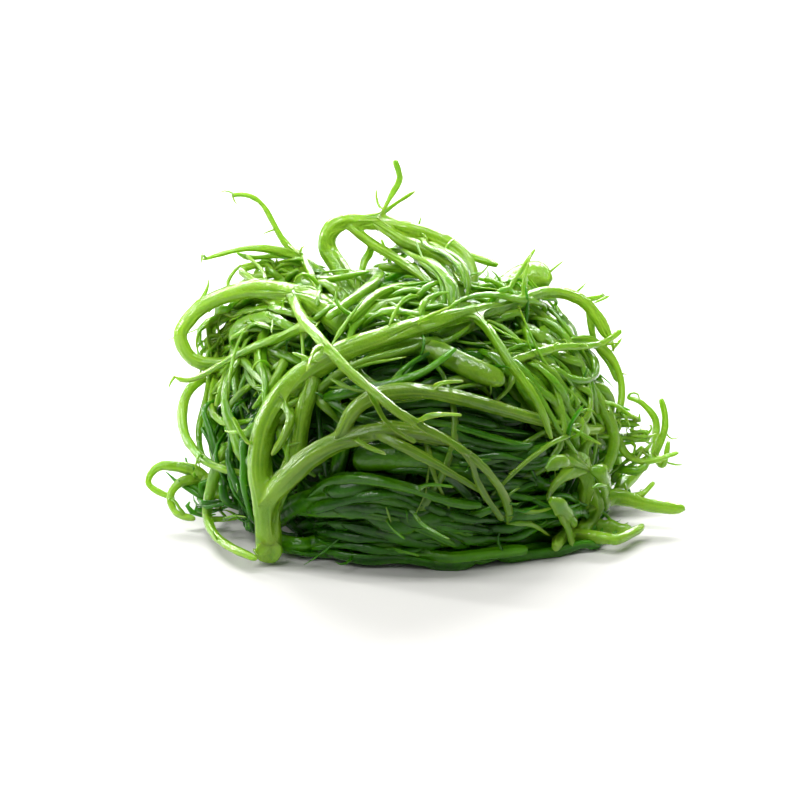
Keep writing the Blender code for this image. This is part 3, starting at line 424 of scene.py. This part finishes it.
def tubes(name, lines, sides_step):
    """One mesh of tapering strands along lines of points, radii and breadth over thickness."""
    lines = [apart(*line) for line in lines]
    bpy.ops.object.select_all(action="DESELECT")
    bpy.ops.curve.primitive_nurbs_path_add()
    piece = bpy.context.object
    piece.name = piece.data.name = name
    curve = piece.data
    curve.splines.clear()
    for points, radii, _ in lines:
        spline = curve.splines.new("POLY")
        spline.points.add(len(points) - 1)
        flat = np.concatenate((points, np.ones((len(points), 1))), axis=1)
        spline.points.foreach_set("co", flat.astype(np.float32).ravel())
        spline.points.foreach_set("radius", (radii / MM).astype(np.float32))
        spline.use_smooth = True
    curve.dimensions = "3D"
    curve.bevel_depth = MM
    curve.bevel_resolution = sides_step
    curve.use_fill_caps = True
    only(piece)
    bpy.ops.object.convert(target="MESH")
    grown(piece.data, lines, 4 + 2 * sides_step)
    bpy.ops.object.shade_smooth()
    return piece


def grown(mesh, lines, sides):
    """Lays each strand's section flat on the heap, and makes its sides and its tone uneven."""
    tilt, swelling, tone_noise, tone_spread = 0.35, 0.06, 0.12, 0.10
    rings = corners(mesh).reshape(-1, sides, 3)
    # The mesh holds both end caps of each strand first, from the last strand to the first, and
    # then every ring in order.
    caps = 2 * len(lines)
    order = np.empty(len(rings), int)
    ends = np.cumsum([len(points) for points, _, _ in lines])
    order[caps:] = np.arange(ends[-1])
    order[0:caps:2] = (ends - 1)[::-1]
    order[1:caps:2] = (ends - [len(points) for points, _, _ in lines])[::-1]
    sideways, swell, tone = [], [], []
    for points, _, breadth in lines:
        way = np.gradient(points, axis=0)
        outward = (points - HEAP_CENTRE) / HEAP_RADII ** 2
        outward /= np.linalg.norm(outward, axis=1)[:, None]
        side = np.cross(way, outward + rng.normal(0, tilt, 3))
        side /= np.maximum(np.linalg.norm(side, axis=1), 1e-9)[:, None]
        sideways.append(side * math.sqrt(max(breadth - 1, 0)))
        noise = rng.normal(size=(len(points) + 6, sides))
        noise = np.stack([np.convolve(noise[:, k], (0.3, 0.6, 0.8, 0.8, 0.8, 0.6, 0.3), "valid")
                          for k in range(sides)], axis=1)
        swell.append(1 + swelling * noise)
        tone.append(0.5 + tone_noise * noise + rng.normal(0, tone_spread))
    sideways, swell, tone = (np.concatenate(parts)[order] for parts in (sideways, swell, tone))
    middle = np.concatenate([points for points, _, _ in lines])[order][:, None, :]
    offset = (rings - middle) * swell[:, :, None]
    offset += (offset * sideways[:, None, :]).sum(2)[:, :, None] * sideways[:, None, :]
    places = (middle + offset).reshape(-1, 3)
    places[:, 2] = np.maximum(places[:, 2], UNDERSIDE)
    set_corners(mesh, places)
    kept = mesh.attributes.new("grain", "FLOAT", "POINT")
    kept.data.foreach_set("value", np.clip(tone, 0, 1).ravel().astype(np.float32))


def taper(count, root, tip):
    """Radii that fall from root to tip, swell a little on the way and close at both ends."""
    thinning, swelling, root_end, closing, tip_end = 1.3, 0.12, 0.3, 5, 0.35
    along = np.linspace(0, 1, count)
    radii = root + (tip - root) * along ** thinning
    radii *= 1 + swelling * np.sin(along * rng.uniform(12, 30) + rng.uniform(0, 6))
    radii *= np.minimum(1, root_end + along * count / closing)
    radii[-1] *= tip_end
    return radii


def drawn_in(points, depth_mm):
    """The line with its first and last fifths drawn in towards the middle of the heap."""
    parts, tip_less = 5, 0.6
    along = np.linspace(0, 1, len(points))[:, None]
    ends = (np.maximum(1 - along * parts, 0) ** 2
            + tip_less * np.maximum(1 - (1 - along) * parts, 0) ** 2)
    inward = HEAP_CENTRE - points
    return points + inward / np.linalg.norm(inward, axis=1)[:, None] * ends * depth_mm * MM


def sheaf(upper, lower, count, share, thickness, breadth, sway, forks):
    """Fine branches that lie side by side between two guide lines of the front view."""
    last_mark, fewest_marks, turned_round = 39, 8, 0.35
    lines = []
    for k in range(count):
        mix = (k + rng.uniform(-0.4, 1.4)) / count
        first, last = rng.uniform(0, 0.35), rng.uniform(0.7, 1.0)
        squares = np.asarray(upper, float) * (1 - mix) + np.asarray(lower, float) * mix
        marks = np.linspace(0, len(squares) - 1, last_mark + 1)
        given = np.arange(len(squares))
        squares = np.stack([np.interp(marks, given, squares[:, j]) for j in (0, 1)], axis=1)
        begins = int(first * last_mark)
        squares = squares[begins:max(int(last * last_mark), begins + fewest_marks)]
        if rng.uniform() < turned_round:
            squares = squares[::-1]
        points = even(seen_at(squares, share * rng.uniform(0.93, 1.05)), SHEAF_STEP)
        points = drawn_in(points + wavy(len(points), sway * MM, 3), ENDS_DRAWN_IN)
        root = rng.uniform(*thickness) * MM / 2
        radii = taper(len(points), root, root * TIP_SHARE)
        lines.append((eased(points, radii, thick), radii, rng.uniform(*breadth)))
        if rng.uniform() < forks and len(points) > FORKING_POINTS:
            lines.append(branch_of(points, radii, rng.uniform(8, 16)))
    return lines


def branch_of(points, radii, length_mm):
    """A finer branch that leaves a line part way along and bends off it."""
    count, swerve = 9, 0.45
    k = int(len(points) * rng.uniform(0.25, 0.7))
    way = points[k + 1] - points[k]
    way /= np.linalg.norm(way)
    side = np.cross(way, rng.normal(size=3) + (points[k] - HEAP_CENTRE) / MM / 20)
    side /= np.linalg.norm(side)
    along = np.linspace(0, 1, count)[:, None]
    offshoot = points[k] + (way * along + side * swerve * along ** 1.5) * length_mm * MM
    offshoot = offshoot + wavy(count, 0.5 * MM, 2) * along
    thin = taper(count, radii[k] * 0.75, radii[k] * 0.2)
    return eased(offshoot, thin, thick), thin, 1.0


thick = surface_of([heart] + fronds)
SHEAVES = (
    # name, how many, share of the outline, thickness in mm, breadth, sway in mm, dark (given
    # the shaded copy, painted shade), then the upper and the lower guide line
    ("lower_front", 40, 0.95, (1.0, 2.0), (1.0, 2.4), 0.5, True,
     ((285, 505), (340, 480), (400, 483), (460, 503), (530, 535)),
     ((280, 560), (340, 556), (400, 562), (460, 566), (545, 560))),
    ("dark_middle", 36, 0.84, (0.9, 2.0), (1.0, 2.2), 1.2, True,
     ((330, 372), (380, 345), (440, 330), (510, 330)),
     ((322, 440), (380, 425), (450, 405), (560, 430))),
    ("right_slope", 30, 0.93, (0.8, 1.8), (1.0, 2.4), 0.9, False,
     ((500, 318), (560, 345), (604, 400), (614, 470)),
     ((470, 345), (520, 400), (560, 450), (570, 500))),
    ("centre_band", 36, 0.93, (0.8, 1.9), (1.0, 2.2), 0.8, True,
     ((340, 415), (420, 398), (500, 412), (605, 432)),
     ((335, 470), (420, 470), (500, 492), (590, 482))),
    ("left_lobe", 24, 0.88, (0.8, 1.8), (1.0, 2.4), 1.0, False,
     ((306, 318), (250, 316), (202, 336), (192, 372)),
     ((316, 400), (270, 372), (230, 380), (212, 424))),
    ("loop_inside", 16, 1.0, (1.0, 1.8), (1.8, 3.6), 1.2, False,
     ((308, 305), (252, 299), (208, 313), (191, 344)),
     ((318, 336), (270, 329), (234, 343), (214, 366))),
    ("left_fall", 18, 0.95, (0.9, 1.8), (1.0, 1.8), 0.8, True,
     ((208, 380), (205, 430), (222, 490), (246, 545)),
     ((262, 390), (256, 440), (262, 500), (264, 552))),
    ("upper_left", 16, 0.95, (0.8, 1.6), (1.0, 2.6), 1.8, False,
     ((236, 262), (280, 258), (322, 276), (352, 308)),
     ((206, 300), (258, 300), (308, 310), (340, 332))),
    ("upper_right", 24, 0.95, (0.8, 1.6), (1.0, 2.4), 2.0, False,
     ((350, 282), (420, 286), (500, 282), (570, 290)),
     ((340, 330), (420, 326), (500, 318), (608, 330))),
    ("top_band", 8, 1.08, (1.0, 1.7), (1.4, 2.4), 0.4, False,
     ((372, 225), (410, 233), (446, 247), (474, 268), (481, 298)),
     ((378, 240), (402, 252), (430, 270), (450, 292), (454, 320))),
    ("far_left", 10, 1.0, (1.0, 2.0), (1.0, 1.6), 1.4, True,
     ((158, 476), (180, 468), (200, 480), (224, 500)),
     ((172, 510), (188, 520), (206, 522), (228, 514))),
    ("right_rear", 12, 0.96, (1.0, 2.2), (1.0, 1.8), 1.6, False,
     ((606, 424), (632, 408), (652, 412), (664, 428)),
     ((604, 474), (632, 476), (654, 466), (667, 448))),
    ("lower_right", 22, 0.96, (1.0, 2.2), (1.0, 2.6), 1.0, True,
     ((470, 498), (530, 496), (580, 494), (622, 500)),
     ((480, 562), (530, 556), (590, 546), (640, 532))),
)
# Fine branches under the others: thin enough to let light through, but little reaches them, so
# they get the shaded copy, painted nearly as dark as the gaps between them, with a weak gloss.
shaded_twig = wet_skin("shaded_fine_branches", (
    (0.0, "#0B2800"), (0.5, "#1F5C02"), (1.0, "#4A9608"),
), glow="#0D2A00", gloss=0.45)
# Fine branches on top: the lit copy, painted a bright leaf green from edge to edge for the light
# that passes right through them, and each carries one thin white glint along its film of brine.
upper_twig = wet_skin("lit_fine_branches", (
    (0.0, "#245000"), (0.45, "#549604"), (1.0, "#8ABA2C"),
), glow="#284600", gloss=0.85)
THREADS = (
    # thickness in mm, breadth, share of the outline, and the route over the front view
    (0.9, 1.0, 1.12, ((331, 346), (340, 332), (352, 314), (363, 300))),
    (1.0, 1.0, 1.10, ((389, 326), (394, 314), (402, 299), (412, 293), (419, 296))),
    (1.2, 1.2, 1.10, ((420, 315), (423, 301), (436, 293), (449, 292))),
    (0.9, 1.0, 1.12, ((448, 308), (458, 301), (468, 296))),
    (0.8, 1.0, 1.04, ((572, 296), (580, 290), (586, 283))),
    (0.8, 1.0, 1.04, ((594, 303), (603, 299), (611, 295))),
    (1.0, 1.0, 1.04, ((611, 352), (616, 346), (622, 338))),
    (1.1, 1.0, 1.10, ((293, 353), (304, 357), (318, 362))),
    (1.3, 1.0, 1.10, ((331, 379), (346, 387), (367, 394))),
    (0.8, 1.0, 1.06, ((225, 431), (234, 434), (247, 430))),
    (0.9, 1.0, 1.02, ((280, 440), (291, 449), (301, 442))),
    (1.1, 1.0, 1.02, ((519, 511), (536, 513), (552, 508))),
    (1.0, 1.0, 1.02, ((508, 497), (511, 488), (520, 488))),
    (1.3, 1.0, 1.02, ((509, 524), (531, 523), (550, 536))),
    (1.2, 1.0, 1.08, ((592, 488), (599, 483), (607, 487))),
    (0.8, 1.0, 1.04, ((386, 507), (389, 514), (391, 522))),
    (0.8, 1.0, 1.02, ((222, 520), (234, 515), (246, 517))),
    (1.7, 1.2, 1.02, ((586, 304), (590, 320), (594, 342), (607, 360), (617, 382))),
    (1.4, 1.0, 1.04, ((600, 312), (610, 332), (614, 352))),
    (2.0, 2.2, 0.98, ((556, 306), (562, 322), (572, 338), (590, 352))),
    (2.0, 2.0, 1.04, ((558, 500), (566, 520), (574, 548))),
    (2.2, 2.2, 1.02, ((588, 530), (610, 529), (634, 531))),
    (2.2, 1.6, 1.06, ((550, 500), (564, 508), (576, 526))),
    (2.6, 1.6, 1.04, ((546, 470), (556, 458), (570, 464))),
    (2.0, 2.0, 1.04, ((600, 468), (607, 488), (604, 508))),
    (2.2, 1.3, 1.00,
     ((252, 304), (243, 296), (241, 286), (249, 278), (266, 275), (288, 273), (306, 278))),
    (1.5, 1.6, 1.00, ((256, 300), (266, 299), (273, 292), (277, 282))),
    (1.2, 1.0, 1.00, ((253, 277), (256, 266), (263, 259), (272, 260), (277, 267), (275, 275))),
    (1.3, 1.6, 1.00, ((237, 253), (246, 259), (262, 257), (280, 255), (304, 261), (326, 268))),
    (1.7, 1.2, 1.02, ((274, 270), (290, 262), (306, 264), (316, 276), (319, 292), (317, 306))),
    (1.2, 1.2, 1.00, ((290, 264), (304, 276), (316, 282))),
    (2.4, 3.2, 0.95, ((272, 294), (284, 280), (300, 277), (314, 292))),
    (2.4, 3.2, 0.94, ((276, 304), (288, 294), (302, 292), (314, 304))),
    (2.0, 3.0, 0.92, ((282, 306), (300, 296), (312, 280), (322, 270))),
    (1.8, 1.6, 1.00, ((208, 312), (214, 300), (230, 296), (250, 296))),
    (2.2, 2.4, 0.98, ((258, 284), (282, 284), (306, 296), (316, 312))),
    (2.0, 2.6, 1.00, ((276, 276), (300, 276), (318, 286))),
)
FORKS_UNDER, FORKS_ON_TOP = 0.15, 0.45  # the share of fine branches that fork
twigs = []
for name, count, share, thickness, breadth, sway, dark, upper, lower in SHEAVES:
    forks = FORKS_UNDER if dark else FORKS_ON_TOP
    lines = sheaf(upper, lower, count, share, thickness, breadth, sway, forks)
    piece = tubes(name + "_branches", lines, EIGHT_SIDED)
    piece.data.materials.append(shaded_twig if dark else upper_twig)
    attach(piece, "root")
    twigs.append(piece)
lines = []
for size, breadth, share, route in THREADS:
    points = even(seen_at(route, share), THREAD_STEP)
    radii = taper(len(points), size * MM / 2, size * MM / 5)
    lines.append((eased(points, radii, thick), radii, breadth))
threads = tubes("front_thread_branches", lines, EIGHT_SIDED)
threads.data.materials.append(upper_twig)
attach(threads, "root")
twigs.append(threads)

# The loose branches: single twigs of the same plants, one to two millimetres thick, over the
# sides, the back and the top. They wander where they fell and stick there by their brine.
# The foot of the heap's front is combed into sheaves, and no outer loose branch lies over them.
COMBED_SHARE, COMBED_FRONT, COMBED_TOP = 0.92, -14 * MM, 27 * MM


def roaming(count, shares, heights, lengths, thickness):
    """Fine branches that wander over the outline from seeded starts."""
    stride_mm, turning, steadiness = 2, 0.09, 0.8
    lowest, lift, forks = 1.5 * MM, 0.4, 0.6
    lines = []
    for k in range(count):
        radii_out = HEAP_RADII * rng.uniform(*shares)
        azimuth = 2 * math.pi * (k + rng.uniform()) / count
        rise = np.clip((rng.uniform(*heights) * MM - HEAP_CENTRE[2]) / radii_out[2], -0.95, 0.95)
        flat = math.sqrt(1 - rise * rise)
        point = HEAP_CENTRE + radii_out * (math.cos(azimuth) * flat, math.sin(azimuth) * flat, rise)
        way, bend, points = rng.normal(size=3), 0.0, [point]
        for _ in range(int(rng.uniform(*lengths) / stride_mm)):
            outward = (point - HEAP_CENTRE) / radii_out ** 2
            outward /= np.linalg.norm(outward)
            bend = steadiness * bend + rng.normal(0, turning)
            way = way - outward * (way @ outward)
            way /= np.linalg.norm(way)
            way = way * math.cos(bend) + np.cross(outward, way) * math.sin(bend)
            point = point + way * stride_mm * MM
            scaled = (point - HEAP_CENTRE) / radii_out
            point = HEAP_CENTRE + radii_out * scaled / np.linalg.norm(scaled)
            if point[2] < lowest:
                way[2] = abs(way[2]) + lift
            points.append(point)
        points = even(points, LOOSE_STEP)
        points = drawn_in(points + wavy(len(points), 0.8 * MM, 3), ENDS_DRAWN_IN)
        combed = points[:, 1].mean() < COMBED_FRONT and points[:, 2].mean() < COMBED_TOP
        if shares[1] > COMBED_SHARE and combed:
            continue
        root = rng.uniform(*thickness) * MM / 2
        radii = taper(len(points), root, root * TIP_SHARE)
        lines.append((eased(points, radii, thick), radii, rng.uniform(1.0, 2.0)))
        if rng.uniform() < forks and len(points) > FORKING_POINTS:
            lines.append(branch_of(points, radii, rng.uniform(8, 18)))
    return lines


ROAMING = (
    # name, how many, shares of the outline, heights, lengths and thickness in mm, material
    ("outer_roaming", 90, (0.93, 1.0), (3, 44), (35, 75), (0.8, 2.2), upper_twig),
    ("inner_roaming", 110, (0.72, 0.9), (3, 38), (35, 75), (0.9, 2.6), shaded_twig),
)
for name, count, shares, heights, lengths, thickness, skin in ROAMING:
    lines = roaming(count, shares, heights, lengths, thickness)
    piece = tubes(name + "_branches", lines, SIX_SIDED)
    piece.data.materials.append(skin)
    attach(piece, "root")
    twigs.append(piece)

# The side shoots: short pointed spurs, one to seven millimetres long, that grow all along the
# plants, of the same flesh, and curl in the salt. Three are drawn and copied, each rooted in a
# frond or branch.
SPUR_LINES = (  # mm, each from just inside its frond
    ((0, 0, -0.4), (0, 0.05, 0.8), (0.1, 0.15, 1.8), (0.35, 0.35, 2.8), (0.8, 0.6, 3.6)),
    ((0, 0, -0.4), (0.1, 0, 0.7), (0.5, 0.1, 1.4), (1.2, 0.1, 1.7), (1.8, 0, 1.4)),
    ((0, 0, -0.4), (-0.1, 0.1, 1.2), (0.3, 0.4, 2.4), (1.2, 0.5, 3.4), (2.4, 0.2, 3.8),
     (3.2, -0.2, 3.5)),
)
SPUR_ALONG, SPUR_RADII = (0, 0.5, 0.85, 1), (0.36, 0.28, 0.16, 0.05)
shapes = []
for k, line in enumerate(SPUR_LINES):
    line = np.array(line) * MM
    radii = np.interp(np.linspace(0, 1, len(line)), SPUR_ALONG, SPUR_RADII) * MM
    shapes.append(tubes(f"spur_shape_{k}", [(line, radii, 1.0)], FOUR_SIDED))
DARK_SHOOTS, BRIGHT_SHOOTS = 8, 15  # tried on each piece
SPUR_REACH, SPUR_LOWEST = 4, 1.5 * MM  # a spur's reach in mm, and how low its tip may come
BARE_FRONT, BARE_TOP, BARE_SHARE = -16 * MM, 24 * MM, 0.75  # fewer at the foot of the front


def shoots_on(pieces, name, each, skin):
    """Copies of the spurs over these pieces, where they point out of the heap, joined into one."""
    outwards, slant = 0.1, 0.6
    spots = []
    for piece in pieces:
        mesh = piece.data
        for k in rng.integers(0, len(mesh.polygons), each):
            face = mesh.polygons[k]
            spots.append((np.array(face.center), np.array(face.normal)))
    spurs = []
    for place, normal in spots:
        outward = (place - HEAP_CENTRE) / np.linalg.norm(place - HEAP_CENTRE)
        lean = normal + slant * rng.normal(size=3)
        reach_down = min(lean[2], 0) * SPUR_REACH * MM
        if normal @ outward < outwards or place[2] + reach_down < SPUR_LOWEST:
            continue
        at_foot = place[1] < BARE_FRONT and place[2] < BARE_TOP
        if name == "side_shoots" and at_foot and rng.uniform() < BARE_SHARE:
            continue
        turn = Vector(lean).to_track_quat("Z", "Y").to_matrix().to_4x4()
        size = rng.uniform(0.4, 1.25)
        spread = Matrix.Translation(Vector(place)) @ turn
        spread = spread @ Matrix.Rotation(rng.uniform(0, 2 * math.pi), 4, "Z")
        spread = spread @ Matrix.Diagonal((size, size, size, 1))
        copy = bpy.data.objects.new("spur", shapes[rng.integers(3)].data.copy())
        copy.data.transform(spread)
        bpy.context.scene.collection.objects.link(copy)
        spurs.append(copy)
    only(spurs[0])
    for spur in spurs:
        spur.select_set(True)
    bpy.ops.object.join()
    places = corners(spurs[0].data)
    places[:, 2] = np.maximum(places[:, 2], UNDERSIDE)
    set_corners(spurs[0].data, places)
    spurs[0].name = name
    spurs[0].data.materials.append(skin)
    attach(spurs[0], "root")


for name, each, skins, skin in (
    ("side_shoots", BRIGHT_SHOOTS, (upper_flesh, upper_twig), upper_twig),
    ("shaded_side_shoots", DARK_SHOOTS, (shaded_flesh, shaded_twig), shaded_twig),
):
    pieces = [piece for piece in fronds + twigs if piece.data.materials[0] in skins]
    shoots_on(pieces, name, each, skin)
bpy.ops.object.select_all(action="DESELECT")
for shape in shapes:
    shape.select_set(True)
bpy.ops.object.delete()

# The floor: one plain sheet of background paper, light grey and matt, that the heap stands on.
# The lights bring it up to nearly white.
FLOOR_WIDTH = 6.0
bpy.ops.object.select_all(action="DESELECT")
bpy.ops.mesh.primitive_plane_add(size=FLOOR_WIDTH)
floor = bpy.context.object
floor.name = "paper_sweep"
# Uncoated paper: its fibres scatter the light evenly, so it has no gloss and shows one even tone.
paper = bpy.data.materials.new("pale_matt_paper")
paper.use_nodes = True
paper.node_tree.nodes.clear()
sheet = add(paper.node_tree, "BsdfPrincipled",
            {"Base Color": linear("#C2C1BE"), "Roughness": 0.8})
add(paper.node_tree, "OutputMaterial", {}, {"Surface": sheet.outputs["BSDF"]})
floor.data.materials.append(paper)

# The studio light: dim white surroundings, a broad soft box behind and above that draws the white
# edges along the wet fronds, one thin strip overhead and one at the left for the thin glints, and
# a weak box at the front left.
SURROUNDINGS = 0.27
LAMPS_AIM = Vector((0, 0, 0.02))
world = bpy.data.worlds.new("white_studio")
bpy.context.scene.world = world
world.use_nodes = True
world.node_tree.nodes["Background"].inputs["Color"].default_value = (1, 1, 1, 1)
world.node_tree.nodes["Background"].inputs["Strength"].default_value = SURROUNDINGS


def soft_box(name, place, width, height, watts):
    """A flat area light that faces the middle of the heap."""
    bpy.ops.object.light_add(type="AREA", location=place)
    lamp = bpy.context.object
    lamp.name = name
    lamp.data.shape = "RECTANGLE"
    lamp.data.size = width
    lamp.data.size_y = height
    lamp.data.energy = watts
    lamp.rotation_euler = (Vector(place) - LAMPS_AIM).to_track_quat("Z", "Y").to_euler()


soft_box("back_soft_box", (0.0, 0.60, 0.52), 1.1, 0.16, 18.5)
soft_box("overhead_strip", (0.0, -0.12, 0.75), 0.9, 0.05, 6.0)
soft_box("left_strip", (-0.66, 0.22, 0.30), 0.05, 0.5, 4.0)
soft_box("front_soft_box", (-0.45, -0.55, 0.8), 0.5, 0.5, 4.5)

# The camera: a long lens 700 mm from the heap, looking down on it at 19.5 degrees. Its frame is
# the 800 squares of the front view.
SENSOR_WIDTH = 36.0
bpy.ops.object.camera_add()
camera = bpy.context.object
camera.data.sensor_width = SENSOR_WIDTH
camera.data.lens = VIEW_DISTANCE / VIEW_SQUARE * SENSOR_WIDTH / VIEW_SQUARES
camera.data.clip_start = 0.01
turned = Matrix(((1, 0, 0), tuple(UPWARD), tuple(-FORWARD))).transposed().to_4x4()
camera.matrix_world = Matrix.Translation(Vector(EYE)) @ turned
bpy.context.scene.camera = camera
bpy.context.scene.view_settings.view_transform = "Standard"
